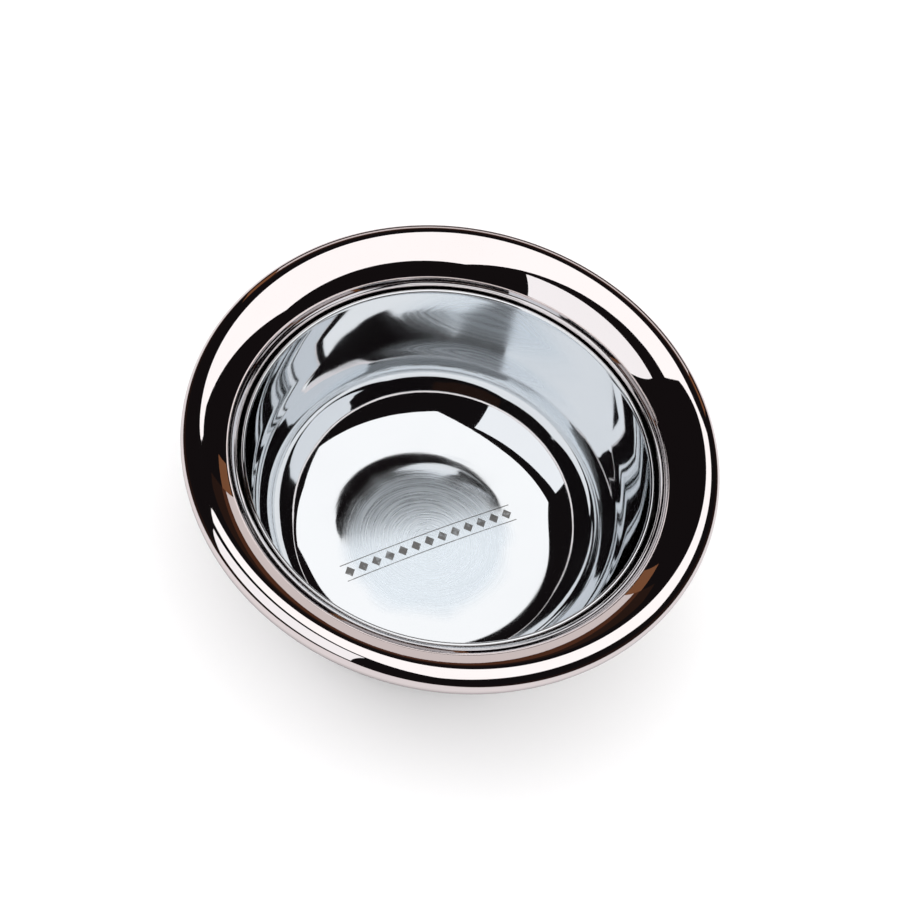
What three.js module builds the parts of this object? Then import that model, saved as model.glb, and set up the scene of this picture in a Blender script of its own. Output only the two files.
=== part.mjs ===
// Shaving bowl: a spun metal shell with a broad flared flange and a rolled rim, and a
// deep-drawn inner bowl that stands in the shell's throat on a bead of bonding compound.
// Millimetres, +Z up. The origin is the middle of the base, on the surface the bowl stands on.

import * as THREE from 'three';

// ---- Driving dimensions ----

const TURN_STEPS = 48;              // facets round the axis, the same on every piece
const GAP = 0.3;                    // clearance between pieces that touch

const RIM_RADIUS = 60.0;            // widest radius, on the outside of the rolled rim
const RIM_HEIGHT = 45.3;            // height of the widest circle
const CURL_RADIUS = 3.5;            // outside radius of the rolled rim's section
const CURL_END = -150;              // where the rolled edge stops, degrees from outward
const SHELL_SHEET = 1.0;            // sheet thickness of the outer shell

const FLANGE_OUTER_FALL = 22;       // fall of the flange towards the middle, degrees
const FLANGE_INNER_FALL = 74;
const FLANGE_OUTER_REACH = 0.39;    // how far the curve holds each fall, as a share of its length
const FLANGE_INNER_REACH = 0.34;
const THROAT_RADIUS = 47.2;         // where the flange turns down into the throat
const THROAT_DROP = 4.0;            // how far that turn lies below the widest circle
const THROAT_WALL_RADIUS = 46.9;    // inside of the upright wall below that turn
const THROAT_WALL_DROP = 5.5;

const FOOT_RADIUS = 36.0;           // where the body wall would meet the standing plane
const FOOT_BEND = 2.5;
const BODY_FLARE = 60;              // steepness of the body wall where it leaves the foot, degrees
const BODY_REACH = 0.35;            // how far the body's curve holds its steepness at each end
const RECESS_RADIUS = 29.0;         // shallow recess in the base, which holds the pad
const RECESS_DEPTH = 1.2;
const RECESS_TOP_BEND = 1.5;
const RECESS_FOOT_BEND = 0.75;

const BOWL_SHEET = 1.0;             // sheet thickness of the inner bowl
const FLOOR_HEIGHT = 5.4;           // height of the middle of the well's floor
// The well's face from the middle of its slightly domed floor to its mouth. Each stretch
// turns evenly to the steepness it ends with, in degrees.
const WELL = [
  { length: 20.0, steepness: -4.2 },
  { length: 2.0, steepness: -1.4 },
  { length: 2.6, steepness: 0 },
  { length: 3.7, steepness: 4 },
  { length: 3.2, steepness: 27 },
  { length: 3.7, steepness: 39 },
  { length: 4.1, steepness: 50 },
  { length: 5.0, steepness: 64.5 },
  { length: 5.5, steepness: 77.3 },
  { length: 13.8, steepness: 80.5 },
  { length: 6.9, steepness: 84.8 },
];

const BEAD_TOP = 33.0;              // bonding bead between the two walls
const BEAD_BOTTOM = 29.0;

const PAD_RADIUS = 27.0;
const PAD_THICKNESS = 1.2;
const PAD_PROUD = 0.4;              // how far the pad stands below the foot

// Smoothness of the outlines: steps along each kind of curve.
const BEND_STEPS = 3;
const SMALL_BEND_STEPS = 2;
const BODY_STEPS = 5;
const FLANGE_STEPS = 7;
const CURL_STEPS = 12;
const LIP_STEPS = 4;
const WELL_STEP_TURN = 7;           // most degrees of turn in one step of the well's face

// ---- Outlines: points in the (radius, height) plane ----

const at = (radius, height) => new THREE.Vector2(radius, height);

const slope = (degrees) => at(
  Math.cos(THREE.MathUtils.degToRad(degrees)),
  Math.sin(THREE.MathUtils.degToRad(degrees)),
);

function arc(centre, radius, fromDegrees, toDegrees, steps) {
  const points = [];
  for (let step = 0; step <= steps; step += 1) {
    const degrees = THREE.MathUtils.lerp(fromDegrees, toDegrees, step / steps);
    points.push(slope(degrees).multiplyScalar(radius).add(centre));
  }
  return points;
}

// Rounds the corner of two straight runs with a curve that touches both.
function bend(before, corner, after, radius, steps) {
  const back = before.clone().sub(corner).normalize();
  const on = after.clone().sub(corner).normalize();
  const reach = radius / Math.tan(Math.acos(back.dot(on)) / 2);
  return new THREE.QuadraticBezierCurve(
    corner.clone().addScaledVector(back, reach),
    corner,
    corner.clone().addScaledVector(on, reach),
  ).getPoints(steps);
}

// A smooth run between two points that leaves and arrives in the given directions.
function run(from, leaving, leavingReach, to, arriving, arrivingReach, steps) {
  const length = from.distanceTo(to);
  return new THREE.CubicBezierCurve(
    from,
    from.clone().addScaledVector(leaving, length * leavingReach),
    to.clone().addScaledVector(arriving, -length * arrivingReach),
    to,
  ).getPoints(steps);
}

// A line of arcs that touch: each stretch turns evenly to the steepness it ends with.
function chain(start, stretches, stepTurn) {
  const points = [start];
  let steepness = 0;
  for (const stretch of stretches) {
    const turn = stretch.steepness - steepness;
    const steps = Math.ceil(Math.abs(turn) / stepTurn);
    for (let step = 0; step < steps; step += 1) {
      const middle = slope(steepness + turn * (step + 0.5) / steps);
      points.push(middle.multiplyScalar(stretch.length / steps).add(points.at(-1)));
    }
    steepness = stretch.steepness;
  }
  return points;
}

// The far side of a sheet whose face follows the given line outwards from the axis: each
// point moves square to the line, to its right, and further at a corner.
function backOf(face, thickness) {
  return face.map((here, i) => {
    const into = here.clone().sub(face[Math.max(i - 1, 0)]).normalize();
    const out = face[Math.min(i + 1, face.length - 1)].clone().sub(here).normalize();
    const along = into.clone().add(out).normalize();
    const miter = 1 / along.dot(i > 0 ? into : out);
    return at(along.y, -along.x).multiplyScalar(thickness * miter).add(here);
  });
}

// Closed section of that sheet. Edge steps above 0 round its edge with a half circle.
function sheet(face, thickness, edgeSteps = 0) {
  const back = backOf(face, thickness);
  const middle = face.at(-1).clone().lerp(back.at(-1), 0.5);
  const start = THREE.MathUtils.radToDeg(face.at(-1).clone().sub(middle).angle());
  const edge = arc(middle, thickness / 2, start, start - 180, edgeSteps).slice(1, -1);
  return [...face, ...edge, ...back.reverse()];
}

// The radius of a rising line at a height.
function radiusAt(line, height) {
  const i = line.findLastIndex((point) => point.y <= height);
  const share = (height - line[i].y) / (line[i + 1].y - line[i].y);
  return THREE.MathUtils.lerp(line[i].x, line[i + 1].x, share);
}

// ---- Pieces ----

function turned(name, outline, material) {
  const points = THREE.ShapeUtils.area(outline) < 0 ? outline.toReversed() : outline;
  const meetsAxis = points[0].x === 0 && points.at(-1).x === 0;
  if (!meetsAxis) points.push(points[0].clone());
  const geometry = new THREE.LatheGeometry(points, TURN_STEPS);
  geometry.rotateX(Math.PI / 2);
  const mesh = new THREE.Mesh(geometry, material);
  mesh.name = name;
  return mesh;
}

// The shell's inside and top face, from the middle of its base to the rolled edge.
function shellFace() {
  const footFace = PAD_PROUD + SHELL_SHEET;
  const baseFace = footFace + RECESS_DEPTH;
  const middle = at(0, baseFace);
  const recessTop = at(RECESS_RADIUS - RECESS_DEPTH / 2, baseFace);
  const recessFoot = at(RECESS_RADIUS + RECESS_DEPTH / 2, footFace);
  const foot = at(FOOT_RADIUS - SHELL_SHEET, footFace);
  const flared = foot.clone().add(slope(BODY_FLARE));
  const footTurn = bend(recessFoot, foot, flared, FOOT_BEND, BEND_STEPS);
  const throatWall = at(THROAT_WALL_RADIUS, RIM_HEIGHT - THROAT_WALL_DROP);
  const throat = at(THROAT_RADIUS, RIM_HEIGHT - THROAT_DROP);
  const curlCentre = at(RIM_RADIUS - CURL_RADIUS, RIM_HEIGHT);
  const curl = arc(curlCentre, CURL_RADIUS, 90 + FLANGE_OUTER_FALL, CURL_END, CURL_STEPS);
  return [
    middle,
    ...bend(middle, recessTop, recessFoot, RECESS_TOP_BEND, SMALL_BEND_STEPS),
    ...bend(recessTop, recessFoot, foot, RECESS_FOOT_BEND, SMALL_BEND_STEPS),
    ...footTurn,
    ...run(
      footTurn.at(-1), slope(BODY_FLARE), BODY_REACH,
      throatWall, slope(90), BODY_REACH, BODY_STEPS,
    ).slice(1),
    throat,
    ...run(
      throat, slope(FLANGE_INNER_FALL), FLANGE_INNER_REACH,
      curl[0], slope(FLANGE_OUTER_FALL), FLANGE_OUTER_REACH, FLANGE_STEPS,
    ).slice(1, -1),
    ...curl,
  ];
}

// The inner bowl's inside face, from the middle of its floor to its mouth.
function bowlFace() {
  return chain(at(0, FLOOR_HEIGHT), WELL, WELL_STEP_TURN);
}

function outerShell() {
  const chrome = new THREE.MeshStandardMaterial({
    color: 0xddd6d3,
    roughness: 0.06,
    metalness: 1.0,
  });
  return turned('outer_shell', sheet(shellFace(), SHELL_SHEET), chrome);
}

function innerBowl() {
  const steel = new THREE.MeshStandardMaterial({
    color: 0xc9ced3,
    roughness: 0.08,
    metalness: 1.0,
  });
  return turned('inner_bowl', sheet(bowlFace(), BOWL_SHEET, LIP_STEPS), steel);
}

// Fills the wedge between the bowl's wall and the throat's wall, and holds the two together.
function bondBead() {
  const compound = new THREE.MeshStandardMaterial({
    color: 0x3a3836,
    roughness: 0.7,
    metalness: 0.0,
  });
  const bowlBack = backOf(bowlFace(), BOWL_SHEET);
  const heights = [BEAD_BOTTOM, BEAD_TOP];
  const inner = heights.map((height) => at(radiusAt(bowlBack, height) + GAP, height));
  const outer = heights.map((height) => at(radiusAt(shellFace(), height) - GAP, height));
  return turned('bond_bead', [...inner, ...outer.reverse()], compound);
}

function basePad() {
  const rubber = new THREE.MeshStandardMaterial({
    color: 0x26262a,
    roughness: 0.85,
    metalness: 0.0,
  });
  const outline = [
    at(0, 0),
    at(PAD_RADIUS - GAP, 0),
    at(PAD_RADIUS, GAP),
    at(PAD_RADIUS, PAD_THICKNESS),
    at(0, PAD_THICKNESS),
  ];
  return turned('base_pad', outline, rubber);
}

const bowl = new THREE.Group();
bowl.add(outerShell(), innerBowl(), bondBead(), basePad());

export default bowl;
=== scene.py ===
"""Looks of the shaving bowl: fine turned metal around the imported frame, in metres, +Z up."""

import math

import bpy
from mathutils import Matrix, Vector


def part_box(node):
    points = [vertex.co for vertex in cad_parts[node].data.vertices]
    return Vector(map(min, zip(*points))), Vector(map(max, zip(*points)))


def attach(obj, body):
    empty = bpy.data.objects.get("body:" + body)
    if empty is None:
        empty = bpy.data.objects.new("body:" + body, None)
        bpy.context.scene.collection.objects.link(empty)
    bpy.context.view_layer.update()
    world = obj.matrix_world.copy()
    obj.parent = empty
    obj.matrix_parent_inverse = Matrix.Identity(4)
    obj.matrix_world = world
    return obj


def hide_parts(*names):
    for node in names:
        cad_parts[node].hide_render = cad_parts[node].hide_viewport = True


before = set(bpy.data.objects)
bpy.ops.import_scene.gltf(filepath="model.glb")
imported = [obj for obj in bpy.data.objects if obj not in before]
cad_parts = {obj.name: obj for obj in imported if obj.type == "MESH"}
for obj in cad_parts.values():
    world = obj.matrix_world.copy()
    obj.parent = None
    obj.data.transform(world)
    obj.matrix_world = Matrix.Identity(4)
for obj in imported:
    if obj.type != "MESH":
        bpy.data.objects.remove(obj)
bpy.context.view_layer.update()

MM = 0.001
MICRON = 0.001 * MM

# ---- Driving dimensions, the same as the frame's ----

SHELL_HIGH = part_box("outer_shell")[1]
RIM_RADIUS = 60.0 * MM              # widest radius, on the outside of the rolled rim
CURL_RADIUS = 3.5 * MM              # outside radius of the rolled rim's section
CURL_END = -150                     # where the rolled edge stops, degrees from outward
RIM_HEIGHT = SHELL_HIGH.z - CURL_RADIUS
SHELL_SHEET = 1.0 * MM

FLANGE_OUTER_FALL = 22              # fall of the flange towards the middle, degrees
FLANGE_INNER_FALL = 74
FLANGE_OUTER_REACH = 0.39           # how far the curve holds each fall, as a share of its length
FLANGE_INNER_REACH = 0.34
THROAT_RADIUS = 47.2 * MM           # where the flange turns down into the throat
THROAT_DROP = 4.0 * MM
THROAT_WALL_RADIUS = 46.9 * MM
THROAT_WALL_DROP = 5.5 * MM
THROAT_REACH = 0.3

FOOT_RADIUS = 36.0 * MM
FOOT_BEND = 2.5 * MM
BODY_FLARE = 60                     # steepness of the body where it leaves the foot, degrees
BODY_REACH = 0.35
RECESS_RADIUS = 29.0 * MM
RECESS_DEPTH = 1.2 * MM
RECESS_TOP_BEND = 1.5 * MM
RECESS_FOOT_BEND = 0.75 * MM

BOWL_SHEET = 1.0 * MM
FLOOR_HEIGHT = 5.4 * MM
# The well's face from the middle of its slightly domed floor to its mouth: the length of each
# stretch, in millimetres, and the steepness it ends with, in degrees.
WELL = (
    (20.0, -4.2),
    (2.0, -1.4),
    (2.6, 0.0),
    (3.7, 4.0),
    (3.2, 27.0),
    (3.7, 39.0),
    (4.1, 50.0),
    (5.0, 64.5),
    (5.5, 77.3),
    (13.8, 80.5),
    (6.9, 84.8),
)

GAP = 0.3 * MM                      # clearance between pieces that touch
BEAD_TOP = 33.0 * MM
BEAD_BOTTOM = 29.0 * MM
PAD_RADIUS = 27.0 * MM
PAD_THICKNESS = 1.2 * MM
PAD_PROUD = 0.4 * MM                # how far the pad stands below the foot

# Smoothness: facets round the axis, and steps along each kind of curve.
TURN_STEPS = 256
WELL_STEP_TURN = 0.5                # most degrees of turn in one step of the well's face
WELL_LEAST_STEPS = 12
RECESS_STEPS = 6
FOOT_STEPS = 10
BODY_STEPS = 30
THROAT_STEPS = 6
FLANGE_STEPS = 64
CURL_STEPS = 64
LIP_STEPS = 14
BEAD_STEPS = 4
ON_AXIS = 1e-9                      # a point with a smaller radius is a pole

# ---- Finish of both metals ----

TURNING_STRETCH = 40.0              # how much finer the turning marks are across than along
TURNING_SCALE = 90.0
TURNING_DETAIL = 3.0
SMUDGE_SCALE = 55.0
SMUDGE_DETAIL = 5.0
SMUDGE_RANGE = (0.45, 0.75)
SMUDGE_HAZE = 0.03                  # roughness that a smudge adds
SMUDGE_SHADE = 0.95
WIPE_TURN = (0.3, 0.2, 0.9)
WIPE_STRETCH = (1, 14, 1)
WIPE_SCALE = 420.0
WIPE_DEPTH = 0.3 * MICRON

CHROME_COLOUR = (0.865, 0.81, 0.805)
CHROME_ROUGHNESS = 0.015
CHROME_TURNING = 0.5 * MICRON       # depth of the turning marks
CHROME_WAVE_SCALE = 60.0
CHROME_WAVE_DEPTH = 12 * MICRON

STEEL_COLOUR = (0.79, 0.81, 0.83)
STEEL_ROUGHNESS = 0.03
STEEL_TURNING = 0.8 * MICRON
PEEL_LOW = FLOOR_HEIGHT + 1.0 * MM  # the wall's ripples grow in above this height
PEEL_FADE = 6.0 * MM
PEEL_SCALE = 110.0
PEEL_DEPTH = 10 * MICRON
FINE_DETAIL = 1.0                   # detail of both metals' soft ripples

LEAN_START = 26.0 * MM              # the floor's lean fades out between these two radii
LEAN_END = 32.0 * MM
LEAN_X = 0.013
LEAN_Y = -0.022
SWELL_START = 21.0 * MM             # the wall's lean grows in between these two heights
SWELL_END = 26.0 * MM
SWELL_SLOPE = 0.07

POLISH_RADIUS = 19.0 * MM           # the floor's middle, brushed in rings
POLISH_FADE = 6.0 * MM
POLISH_EDGE_SCALE = 90.0
POLISH_TINT = (0.58, 0.70, 0.80)
POLISH_TINT_SHARE = 0.4
POLISH_HAZE = 0.10
POLISH_SCATTER = 0.46               # share of the light that the deepest strokes scatter
POLISH_LEAST_SCATTER = 0.2
STROKE_SCALE = 3000.0
STROKE_DETAIL = 3.0
STROKE_RANGE = (0.3, 0.7)
STROKE_WANDER = 0.4 * MM            # radius of the circle that the strokes' noise is read on
STROKE_LEAST_RADIUS = 1.0 * MM
STROKE_DEPTH = 14 * MICRON

# ---- Etched border on the floor ----

MARK_TURN = math.radians(39.8)
MARK_X = 0.4 * MM
MARK_Y = 0.0 * MM
MARK_LENGTH = 44.0 * MM
MARK_RULE_OFFSET = 2.1 * MM
MARK_RULE_WIDTH = 0.22 * MM
MARK_PITCH = 3.4 * MM
MARK_LOZENGE = 1.25 * MM            # half the length of a lozenge
MARK_SLANT = 0.9
MARK_CEILING = FLOOR_HEIGHT + 1.5 * MM
MARK_COLOUR = (0.10, 0.095, 0.09)
WEAR_SCALE = 700.0
WEAR_DETAIL = 4.0
WEAR_RANGE = (0.25, 0.5)
WEAR_LEVELS = (0.55, 0.95)

# ---- Matte pieces ----

GRAIN_DETAIL = 5.0
GRAIN_LIGHT = 1.6                   # how much lighter the grain's peaks are
COMPOUND = {"colour": (0.05, 0.048, 0.045), "roughness": 0.7, "grain": 900.0, "depth": 40 * MICRON}
RUBBER = {"colour": (0.03, 0.03, 0.032), "roughness": 0.85, "grain": 1500.0, "depth": 50 * MICRON}

# ---- Camera ----

VIEW_ELEVATION = math.radians(57.21)
VIEW_ROLL = math.radians(15.34)     # the bowl looks turned clockwise by this
VIEW_DISTANCE = 12.0 * RIM_RADIUS
SENSOR = 36.0
LENS = 130.6
AIM_RIGHT = -0.573 * MM             # the view's middle, from the middle of the rim's plane
AIM_UP = 0.022 * MM
CLIP_NEAR = 0.01
CLIP_FAR = 100

# ---- Stage ----

FLOOR_COLOUR = (0.93, 0.93, 0.93)
FLOOR_ROUGHNESS = 0.9
STAGE_REACH = 12.0                  # half the width of the floor
SQUARE = ((-1, -1), (1, -1), (1, 1), (-1, 1))

OVERHEAD = 1.1                      # height of the softbox above the rim
OVERHEAD_CORNERS = ((-0.73, 0.10), (0.285, -0.92), (1.74, 0.145), (0.70, 1.13))
OVERHEAD_COLOUR = (1.0, 0.995, 0.995)
OVERHEAD_STRENGTH = 1.2
SIDE_DISTANCE = 1.6
SIDE_CORNERS = ((-50, -6), (-7, -32), (-20, -84), (-82, -34))   # degrees from the zenith
SIDE_COLOUR = (0.97, 0.98, 1.0)
SIDE_STRENGTH = 1.1

BACKDROP = 1.5                      # distance of the backdrop
# Each stretch of it: name, headings of its sides, angles of its edges from the zenith, colour.
BACKDROP_PANELS = (
    ("backdrop_low", (-31, 29), (90, 76), (0.68, 0.62, 0.61)),
    ("backdrop_edge", (-31, 29), (76, 71), (0.075, 0.028, 0.015)),
    ("backdrop_high", (-31, 29), (71, 62), (0.022, 0.011, 0.008)),
    ("backdrop_left", (-38, -31), (90, 70), (0.20, 0.085, 0.04)),
    ("backdrop_right", (29, 36), (86, 72), (0.20, 0.085, 0.04)),
)

SHEET_SIDE = 0.17                   # the white sheet under the bowl, as reflections see it
SHEET_FRONT = 0.60
SHEET_BACK = 0.17
GROUND_RISE = 0.5 * MM
GROUND_PALE = (0.84, 0.80, 0.81)
GROUND_DARK = (0.02, 0.010, 0.008)
SHADE_START = 0.030                 # the bowl shades the sheet between these two distances
SHADE_END = 0.105
SHADE_LEVEL = 0.30

AIR_SEEN = (1.0, 1.0, 1.0)          # the air to the camera, in reflections, and on matte pieces
AIR_MIRRORED = (0.007, 0.0055, 0.006)
AIR_ON_MATTE = (1.9, 1.9, 1.9)


# ---- Outlines: points in the (radius, height) plane ----

def slope(degrees):
    return Vector((math.cos(math.radians(degrees)), math.sin(math.radians(degrees))))


def arc(centre, radius, start, end, steps):
    return [centre + slope(start + (end - start) * i / steps) * radius for i in range(steps + 1)]


def bend(before, corner, after, radius, steps):
    """Rounds the corner of two straight runs with a curve that touches both."""
    back = (before - corner).normalized()
    on = (after - corner).normalized()
    reach = radius / math.tan(math.acos(back.dot(on)) / 2)
    start, end = corner + back * reach, corner + on * reach
    points = []
    for i in range(steps + 1):
        t = i / steps
        points.append(start * (1 - t) ** 2 + corner * 2 * t * (1 - t) + end * t * t)
    return points


def run(start, leaving, leaving_reach, end, arriving, arriving_reach, steps):
    """A smooth run between two points that leaves and arrives in the given directions."""
    length = (end - start).length
    first = start + leaving * length * leaving_reach
    last = end - arriving * length * arriving_reach
    points = []
    for i in range(steps + 1):
        t = i / steps
        s = 1 - t
        points.append(start * s ** 3 + first * 3 * s * s * t + last * 3 * s * t * t + end * t ** 3)
    return points


def chain(start, stretches):
    """A line of arcs that touch: each stretch turns evenly to the steepness it ends with."""
    points = [start]
    steepness = 0.0
    for length, end in stretches:
        turn = end - steepness
        steps = max(WELL_LEAST_STEPS, math.ceil(abs(turn) / WELL_STEP_TURN))
        for i in range(steps):
            middle = slope(steepness + turn * (i + 0.5) / steps)
            points.append(points[-1] + middle * (length * MM / steps))
        steepness = end
    return points


def back_of(face, thickness):
    """The far side of a sheet whose face follows the line outwards from the axis."""
    back = []
    for i, here in enumerate(face):
        into = (here - face[i - 1]).normalized() if i else None
        out = (face[i + 1] - here).normalized() if i + 1 < len(face) else None
        into, out = into or out, out or into
        along = (into + out).normalized()
        reach = thickness / along.dot(into)
        back.append(here + Vector((along.y, -along.x)) * reach)
    return back


def sheet(face, thickness, edge_steps=0):
    """Closed section of that sheet. Edge steps above 0 round its edge with a half circle."""
    back = back_of(face, thickness)
    middle = (face[-1] + back[-1]) / 2
    out = face[-1] - middle
    start = math.degrees(math.atan2(out.y, out.x))
    edge = arc(middle, thickness / 2, start, start - 180, edge_steps)[1:-1] if edge_steps else []
    return face + edge + back[::-1]


def radius_at(line, height):
    """The radius of a rising line at a height."""
    i = max(k for k, p in enumerate(line[:-1]) if p.y <= height)
    share = (height - line[i].y) / (line[i + 1].y - line[i].y)
    return line[i].x + (line[i + 1].x - line[i].x) * share


def shell_face():
    """The shell's inside and top face, from the middle of its base to the rolled edge."""
    foot_face = PAD_PROUD + SHELL_SHEET
    base_face = foot_face + RECESS_DEPTH
    middle = Vector((0, base_face))
    recess_top = Vector((RECESS_RADIUS - RECESS_DEPTH / 2, base_face))
    recess_foot = Vector((RECESS_RADIUS + RECESS_DEPTH / 2, foot_face))
    foot = Vector((FOOT_RADIUS - SHELL_SHEET, foot_face))
    foot_turn = bend(recess_foot, foot, foot + slope(BODY_FLARE), FOOT_BEND, FOOT_STEPS)
    throat_wall = Vector((THROAT_WALL_RADIUS, RIM_HEIGHT - THROAT_WALL_DROP))
    throat = Vector((THROAT_RADIUS, RIM_HEIGHT - THROAT_DROP))
    curl_centre = Vector((RIM_RADIUS - CURL_RADIUS, RIM_HEIGHT))
    curl = arc(curl_centre, CURL_RADIUS, 90 + FLANGE_OUTER_FALL, CURL_END, CURL_STEPS)
    return [
        middle,
        *bend(middle, recess_top, recess_foot, RECESS_TOP_BEND, RECESS_STEPS),
        *bend(recess_top, recess_foot, foot, RECESS_FOOT_BEND, RECESS_STEPS),
        *foot_turn,
        *run(
            foot_turn[-1], slope(BODY_FLARE), BODY_REACH,
            throat_wall, slope(90), BODY_REACH, BODY_STEPS,
        )[1:],
        *run(
            throat_wall, slope(90), THROAT_REACH,
            throat, slope(FLANGE_INNER_FALL), THROAT_REACH, THROAT_STEPS,
        )[1:],
        *run(
            throat, slope(FLANGE_INNER_FALL), FLANGE_INNER_REACH,
            curl[0], slope(FLANGE_OUTER_FALL), FLANGE_OUTER_REACH, FLANGE_STEPS,
        )[1:-1],
        *curl,
    ]


def bowl_face():
    """The inner bowl's inside face, from the middle of its floor to its mouth."""
    return chain(Vector((0, FLOOR_HEIGHT)), WELL)


# ---- Meshes ----

def mesh_object(name, vertices, faces):
    mesh = bpy.data.meshes.new(name)
    mesh.from_pydata(vertices, [], faces)
    piece = bpy.data.objects.new(name, mesh)
    bpy.context.scene.collection.objects.link(piece)
    return piece


def turned(name, outline):
    """A closed body of revolution with one vertex at each pole."""
    area = sum(a.x * b.y - b.x * a.y for a, b in zip(outline, outline[1:] + outline[:1]))
    if area < 0:
        outline = outline[::-1]
    vertices, faces, rings = [], [], []
    for point in outline:
        if point.x < ON_AXIS:
            rings.append([len(vertices)] * TURN_STEPS)
            vertices.append((0, 0, point.y))
            continue
        rings.append(list(range(len(vertices), len(vertices) + TURN_STEPS)))
        for i in range(TURN_STEPS):
            angle = 2 * math.pi * i / TURN_STEPS
            vertices.append((point.x * math.cos(angle), point.x * math.sin(angle), point.y))
    pairs = list(zip(rings, rings[1:]))
    if outline[0].x >= ON_AXIS:
        pairs.append((rings[-1], rings[0]))
    for low, high in pairs:
        for i in range(TURN_STEPS):
            j = (i + 1) % TURN_STEPS
            face = list(dict.fromkeys((low[i], low[j], high[j], high[i])))
            if len(face) > 2:
                faces.append(face)
    piece = mesh_object(name, vertices, faces)
    piece.data.shade_smooth()
    return piece


def carry(piece, slot, material, *nodes):
    piece.data.materials.append(material)
    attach(piece, "root")
    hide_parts(*nodes)


# ---- Materials ----

class Nodes:
    """A short way to add and join shader nodes."""

    def __init__(self, name):
        self.material = bpy.data.materials.new(name)
        self.material.use_nodes = True
        self.tree = self.material.node_tree
        self.shader = self.tree.nodes["Principled BSDF"]

    def feed(self, node, key, value):
        """Joins a socket to an input, or sets the input to a value."""
        if isinstance(value, bpy.types.NodeSocket):
            self.tree.links.new(value, node.inputs[key])
        else:
            node.inputs[key].default_value = value

    def add(self, kind, inputs=None, **settings):
        node = self.tree.nodes.new("ShaderNode" + kind)
        for key, value in settings.items():
            setattr(node, key, value)
        for key, value in (inputs or {}).items():
            self.feed(node, key, value)
        return node

    def math(self, operation, *values):
        return self.add("Math", dict(enumerate(values)), operation=operation).outputs[0]

    def product(self, first, second):
        return self.math("MULTIPLY", first, second)

    def ramp(self, value, start, end, low=0.0, high=1.0):
        """Goes smoothly from low to high as the value goes from start to end."""
        node = self.add("MapRange", {
            "Value": value, "From Min": start, "From Max": end, "To Min": low, "To Max": high,
        }, interpolation_type="SMOOTHSTEP")
        return node.outputs[0]

    def blend(self, factor, first, second):
        """Mixes two colours, each a socket or three numbers."""
        node = self.add("Mix", data_type="RGBA")
        self.feed(node, 0, factor)
        for key, value in ((6, first), (7, second)):
            fixed = not isinstance(value, bpy.types.NodeSocket)
            self.feed(node, key, (*value, 1) if fixed else value)
        return node.outputs[2]

    def noise(self, place, scale, detail=2.0):
        return self.add("TexNoise", {"Vector": place, "Scale": scale, "Detail": detail}).outputs[0]

    def bump(self, height, distance, normal=None):
        inputs = {"Height": height, "Strength": 1.0, "Distance": distance}
        if normal:
            inputs["Normal"] = normal
        return self.add("Bump", inputs).outputs[0]

    def vector(self, x, y, z):
        return self.add("CombineXYZ", {0: x, 1: y, 2: z}).outputs[0]

    def join(self, output, key):
        self.tree.links.new(output, self.shader.inputs[key])

    def object_place(self):
        return self.add("TexCoord").outputs["Object"]

    def split(self, place):
        return self.add("SeparateXYZ", {0: place}).outputs


def turned_metal(name, colour, roughness, turning, lean=None):
    """The finish both metals share: clean polish with turning marks, wipes and faint smudges.
    The lean, if given, tilts the surface a little, as a slightly untrue sheet does."""
    n = Nodes(name)
    n.shader.inputs["Metallic"].default_value = 1.0
    place = n.object_place()
    x, y, z = n.split(place)
    radius = n.math("SQRT", n.math("ADD", n.product(x, x), n.product(y, y)))
    ring = n.vector(n.product(radius, TURNING_STRETCH), x, y)
    marks = n.noise(ring, TURNING_SCALE, TURNING_DETAIL)
    smudges = n.noise(place, SMUDGE_SCALE, SMUDGE_DETAIL)
    wiped = n.add("Mapping", {"Vector": place, "Rotation": WIPE_TURN, "Scale": WIPE_STRETCH})
    wipes = n.noise(wiped.outputs[0], WIPE_SCALE)
    base = lean(n, radius, z) if lean else None
    normal = n.bump(wipes, WIPE_DEPTH, n.bump(marks, turning, base))
    rough = n.ramp(smudges, *SMUDGE_RANGE, roughness, roughness + SMUDGE_HAZE)
    tint = n.blend(smudges, colour, [share * SMUDGE_SHADE for share in colour])
    return n, place, (x, y, z), radius, normal, rough, tint


def untrue_well(n, radius, z):
    """The floor leans slightly off true, and the upper wall swells slightly inwards."""
    floor_share = n.ramp(radius, LEAN_END, LEAN_START)
    swell = n.ramp(z, SWELL_START, SWELL_END)
    shift = n.vector(
        n.product(floor_share, LEAN_X),
        n.product(floor_share, LEAN_Y),
        n.product(swell, -SWELL_SLOPE),
    )
    true = n.add("NewGeometry").outputs["Normal"]
    moved = n.add("VectorMath", {0: true, 1: shift}, operation="ADD").outputs[0]
    return n.add("VectorMath", {0: moved}, operation="NORMALIZE").outputs[0]


def chrome_metal():
    n, place, _, _, normal, rough, tint = turned_metal(
        "warm_chrome", CHROME_COLOUR, CHROME_ROUGHNESS, CHROME_TURNING,
    )
    waves = n.noise(place, CHROME_WAVE_SCALE, FINE_DETAIL)
    n.join(n.bump(waves, CHROME_WAVE_DEPTH, normal), "Normal")
    n.join(rough, "Roughness")
    n.join(tint, "Base Color")
    return n.material


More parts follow.
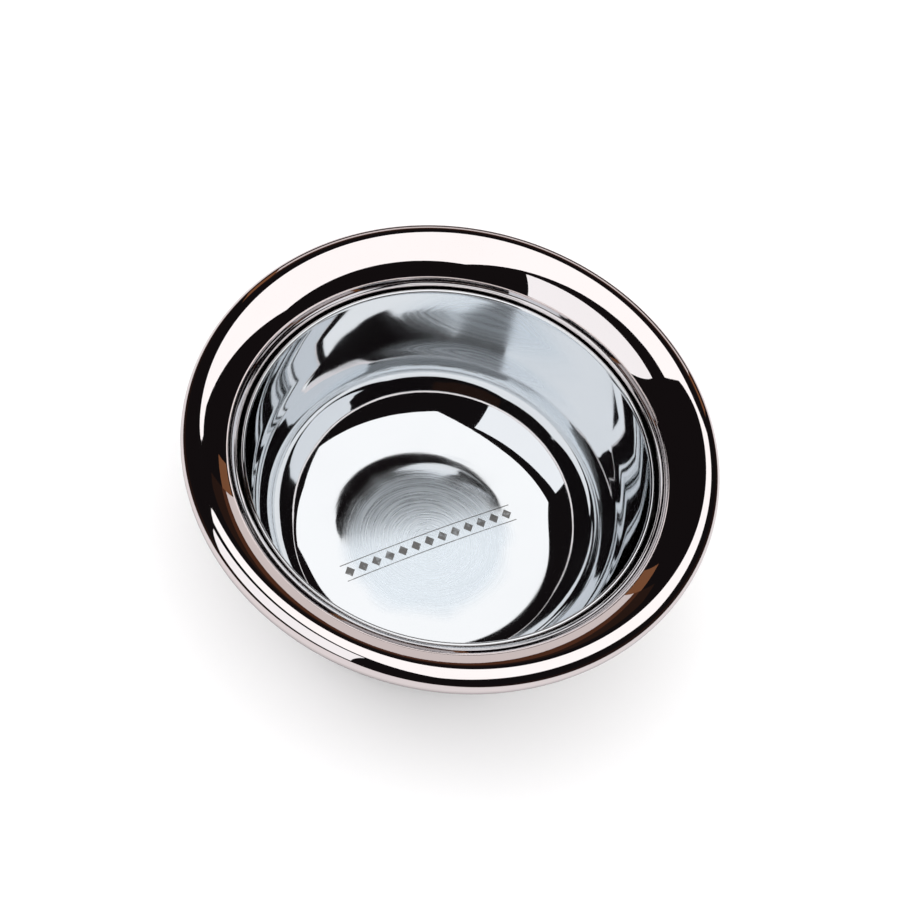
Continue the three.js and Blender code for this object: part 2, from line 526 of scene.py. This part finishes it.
def steel_metal():
    """Rippled on the wall, brushed in rings on the floor's middle, with the etched border."""
    n, place, (x, y, z), radius, normal, rough, tint = turned_metal(
        "cool_steel", STEEL_COLOUR, STEEL_ROUGHNESS, STEEL_TURNING, untrue_well,
    )
    on_wall = n.ramp(z, PEEL_LOW, PEEL_LOW + PEEL_FADE)
    peel = n.noise(place, PEEL_SCALE, FINE_DETAIL)
    wavy = n.bump(n.product(peel, on_wall), PEEL_DEPTH, normal)

    ragged = n.product(n.noise(place, POLISH_EDGE_SCALE), POLISH_FADE)
    edge = n.math("ADD", radius, ragged)
    near_middle = n.ramp(edge, POLISH_RADIUS + POLISH_FADE, POLISH_RADIUS)
    shrink = n.math("DIVIDE", STROKE_WANDER, n.math("MAXIMUM", radius, STROKE_LEAST_RADIUS))
    swirl = n.vector(radius, n.product(x, shrink), n.product(y, shrink))
    streaks = n.noise(swirl, STROKE_SCALE, STROKE_DETAIL)
    n.join(n.bump(n.product(streaks, near_middle), STROKE_DEPTH, wavy), "Normal")
    scatter = n.ramp(streaks, *STROKE_RANGE, POLISH_LEAST_SCATTER, POLISH_SCATTER)
    n.join(n.math("SUBTRACT", 1.0, n.product(scatter, near_middle)), "Metallic")
    n.join(n.math("ADD", rough, n.product(near_middle, POLISH_HAZE)), "Roughness")

    etched = ornament(n, x, y, z)
    brushed = n.blend(n.product(near_middle, POLISH_TINT_SHARE), tint, POLISH_TINT)
    n.join(n.blend(etched, brushed, MARK_COLOUR), "Base Color")
    return n.material


def ornament(n, x, y, z):
    """A plain etched border on the floor: a row of lozenges between two fine rules."""
    cos, sin = math.cos(MARK_TURN), math.sin(MARK_TURN)
    from_x = n.math("SUBTRACT", x, MARK_X)
    from_y = n.math("SUBTRACT", y, MARK_Y)
    u = n.math("ADD", n.product(from_x, cos), n.product(from_y, sin))
    v = n.math("SUBTRACT", n.product(from_y, cos), n.product(from_x, sin))
    across = n.math("ABSOLUTE", v)
    inside = n.math("LESS_THAN", n.math("ABSOLUTE", u), MARK_LENGTH / 2)
    offset = n.math("ABSOLUTE", n.math("SUBTRACT", across, MARK_RULE_OFFSET))
    rules = n.math("LESS_THAN", offset, MARK_RULE_WIDTH / 2)
    cell = n.math("PINGPONG", u, MARK_PITCH / 2)
    lozenge = n.math("ADD", cell, n.product(across, MARK_SLANT))
    lozenges = n.math("LESS_THAN", lozenge, MARK_LOZENGE)
    drawn = n.product(n.math("MAXIMUM", rules, lozenges), inside)
    on_floor = n.math("LESS_THAN", z, MARK_CEILING)
    grit = n.noise(n.object_place(), WEAR_SCALE, WEAR_DETAIL)
    wear = n.ramp(grit, *WEAR_RANGE, *WEAR_LEVELS)
    return n.product(n.product(drawn, on_floor), wear)


def matte(name, colour, roughness, grain, depth):
    n = Nodes(name)
    speck = n.noise(n.object_place(), grain, GRAIN_DETAIL)
    n.join(n.bump(speck, depth), "Normal")
    n.join(n.blend(speck, colour, [share * GRAIN_LIGHT for share in colour]), "Base Color")
    n.shader.inputs["Roughness"].default_value = roughness
    return n.material


# ---- Pieces ----

chrome = chrome_metal()
steel = steel_metal()
compound = matte("bonding_compound", **COMPOUND)
rubber = matte("pad_rubber", **RUBBER)

shell_outline = sheet(shell_face(), SHELL_SHEET)
carry(turned("shell_turned", shell_outline), "shell_chrome", chrome, "outer_shell")
bowl_outline = sheet(bowl_face(), BOWL_SHEET, LIP_STEPS)
carry(turned("bowl_turned", bowl_outline), "bowl_steel", steel, "inner_bowl")

bowl_back = back_of(bowl_face(), BOWL_SHEET)
bead_rise = (BEAD_TOP - BEAD_BOTTOM) / BEAD_STEPS
bead_heights = [BEAD_BOTTOM + bead_rise * i for i in range(BEAD_STEPS + 1)]
bead_inner = [Vector((radius_at(bowl_back, h) + GAP, h)) for h in bead_heights]
bead_outer = [Vector((radius_at(shell_face(), h) - GAP, h)) for h in bead_heights]
bead_outline = bead_inner + bead_outer[::-1]
carry(turned("bead_ring", bead_outline), "bonding_compound", compound, "bond_bead")

pad_outline = [
    Vector((0, 0)),
    Vector((PAD_RADIUS - GAP, 0)),
    Vector((PAD_RADIUS, GAP)),
    Vector((PAD_RADIUS, PAD_THICKNESS)),
    Vector((0, PAD_THICKNESS)),
]
carry(turned("pad_disc", pad_outline), "pad_rubber", rubber, "base_pad")


# ---- Stage ----

def emitter(name, colour, strength=1.0):
    material = bpy.data.materials.new(name)
    material.use_nodes = True
    tree = material.node_tree
    tree.nodes.clear()
    glow = tree.nodes.new("ShaderNodeEmission")
    glow.inputs["Color"].default_value = (*colour, 1)
    glow.inputs["Strength"].default_value = strength
    output = tree.nodes.new("ShaderNodeOutputMaterial")
    tree.links.new(glow.outputs[0], output.inputs[0])
    return material


def panel(name, corners, material):
    """A stage panel that reflections see and the camera doesn't."""
    piece = mesh_object(name, corners, [list(range(len(corners)))])
    piece.data.materials.append(material)
    piece.visible_camera = False


def floor():
    corners = [(x * STAGE_REACH, y * STAGE_REACH, 0) for x, y in SQUARE]
    piece = mesh_object("floor", corners, [(0, 1, 2, 3)])
    n = Nodes("floor_paper")
    n.shader.inputs["Base Color"].default_value = (*FLOOR_COLOUR, 1)
    n.shader.inputs["Roughness"].default_value = FLOOR_ROUGHNESS
    piece.data.materials.append(n.material)


def towards(zenith_x, zenith_y, distance):
    """A point in the direction whose angle from the zenith is the length of (x, y), in degrees."""
    angle = math.radians(math.hypot(zenith_x, zenith_y))
    heading = math.atan2(zenith_x, zenith_y)
    return (
        distance * math.sin(angle) * math.sin(heading),
        distance * math.sin(angle) * math.cos(heading),
        distance * math.cos(angle) + RIM_HEIGHT,
    )


def backdrop_panel(name, headings, zeniths, colour):
    """A stretch of the backdrop between two headings and two angles from the zenith."""
    left, right = headings
    low, high = zeniths
    corners = []
    for heading, zenith in ((left, low), (right, low), (right, high), (left, high)):
        turn = math.radians(heading)
        rise = BACKDROP * math.tan(math.radians(90 - zenith))
        corners.append((BACKDROP * math.sin(turn), BACKDROP * math.cos(turn), RIM_HEIGHT + rise))
    panel(name, corners, emitter(name + "_glow", colour))


def ground_card(name, corners, faces, material):
    """A card on the ground that only reflections see."""
    piece = mesh_object(name, [(x, y, GROUND_RISE) for x, y in corners], faces)
    piece.data.materials.append(material)
    piece.visible_camera = False
    piece.visible_diffuse = False
    piece.visible_shadow = False


def shade_ground(material):
    """Darkens a ground card near the bowl, as the bowl's own shadow does."""
    tree = material.node_tree
    place = tree.nodes.new("ShaderNodeTexCoord")
    distance = tree.nodes.new("ShaderNodeVectorMath")
    distance.operation = "LENGTH"
    fade = tree.nodes.new("ShaderNodeMapRange")
    fade.interpolation_type = "SMOOTHSTEP"
    fade.inputs["From Min"].default_value = SHADE_START
    fade.inputs["From Max"].default_value = SHADE_END
    fade.inputs["To Min"].default_value = SHADE_LEVEL
    tree.links.new(place.outputs["Object"], distance.inputs[0])
    tree.links.new(distance.outputs["Value"], fade.inputs["Value"])
    tree.links.new(fade.outputs[0], tree.nodes["Emission"].inputs["Strength"])


def studio_air():
    """Pale to the camera, bright on matte surfaces, and dark in the metal's reflections."""
    world = bpy.data.worlds.new("studio")
    bpy.context.scene.world = world
    world.use_nodes = True
    tree = world.node_tree
    tree.nodes.clear()
    path = tree.nodes.new("ShaderNodeLightPath")
    shades = []
    for level in (AIR_SEEN, AIR_MIRRORED, AIR_ON_MATTE):
        shade = tree.nodes.new("ShaderNodeBackground")
        shade.inputs["Color"].default_value = (*level, 1)
        shades.append(shade.outputs[0])
    seen, mirrored, on_matte = shades
    for_diffuse = tree.nodes.new("ShaderNodeMixShader")
    for_camera = tree.nodes.new("ShaderNodeMixShader")
    output = tree.nodes.new("ShaderNodeOutputWorld")
    tree.links.new(path.outputs["Is Diffuse Ray"], for_diffuse.inputs[0])
    tree.links.new(mirrored, for_diffuse.inputs[1])
    tree.links.new(on_matte, for_diffuse.inputs[2])
    tree.links.new(path.outputs["Is Camera Ray"], for_camera.inputs[0])
    tree.links.new(for_diffuse.outputs[0], for_camera.inputs[1])
    tree.links.new(seen, for_camera.inputs[2])
    tree.links.new(for_camera.outputs[0], output.inputs[0])


def camera():
    forward = Vector((0, math.cos(VIEW_ELEVATION), -math.sin(VIEW_ELEVATION)))
    up = Vector((0, math.sin(VIEW_ELEVATION), math.cos(VIEW_ELEVATION)))
    right = Vector((1, 0, 0))
    image_right = right * math.cos(VIEW_ROLL) + up * math.sin(VIEW_ROLL)
    image_up = up * math.cos(VIEW_ROLL) - right * math.sin(VIEW_ROLL)
    target = Vector((0, 0, RIM_HEIGHT)) + image_right * AIM_RIGHT + image_up * AIM_UP
    place = target - forward * VIEW_DISTANCE
    data = bpy.data.cameras.new("view")
    data.sensor_width = SENSOR
    data.lens = LENS
    data.clip_start = CLIP_NEAR
    data.clip_end = CLIP_FAR
    piece = bpy.data.objects.new("view", data)
    bpy.context.scene.collection.objects.link(piece)
    turn = Matrix((image_right, image_up, -forward)).transposed()
    piece.matrix_world = Matrix.Translation(place) @ turn.to_4x4()
    bpy.context.scene.camera = piece


floor()
panel(
    "softbox_overhead",
    [(x * OVERHEAD, y * OVERHEAD, OVERHEAD + RIM_HEIGHT) for x, y in OVERHEAD_CORNERS],
    emitter("overhead_glow", OVERHEAD_COLOUR, OVERHEAD_STRENGTH),
)
panel(
    "softbox_side",
    [towards(x, y, SIDE_DISTANCE) for x, y in SIDE_CORNERS],
    emitter("side_glow", SIDE_COLOUR, SIDE_STRENGTH),
)
for row in BACKDROP_PANELS:
    backdrop_panel(*row)

near = [(-SHEET_SIDE, -SHEET_FRONT), (SHEET_SIDE, -SHEET_FRONT),
        (SHEET_SIDE, SHEET_BACK), (-SHEET_SIDE, SHEET_BACK)]
far = [(x * STAGE_REACH, y * STAGE_REACH) for x, y in SQUARE]
around = [(i, (i + 1) % 4, 4 + (i + 1) % 4, 4 + i) for i in range(4)]
pale = emitter("ground_pale_glow", GROUND_PALE)
shade_ground(pale)
ground_card("ground_pale", near, [(0, 1, 2, 3)], pale)
ground_card("ground_dark", near + far, around, emitter("ground_dark_glow", GROUND_DARK))

studio_air()
camera()
bpy.context.scene.view_settings.view_transform = "Standard"
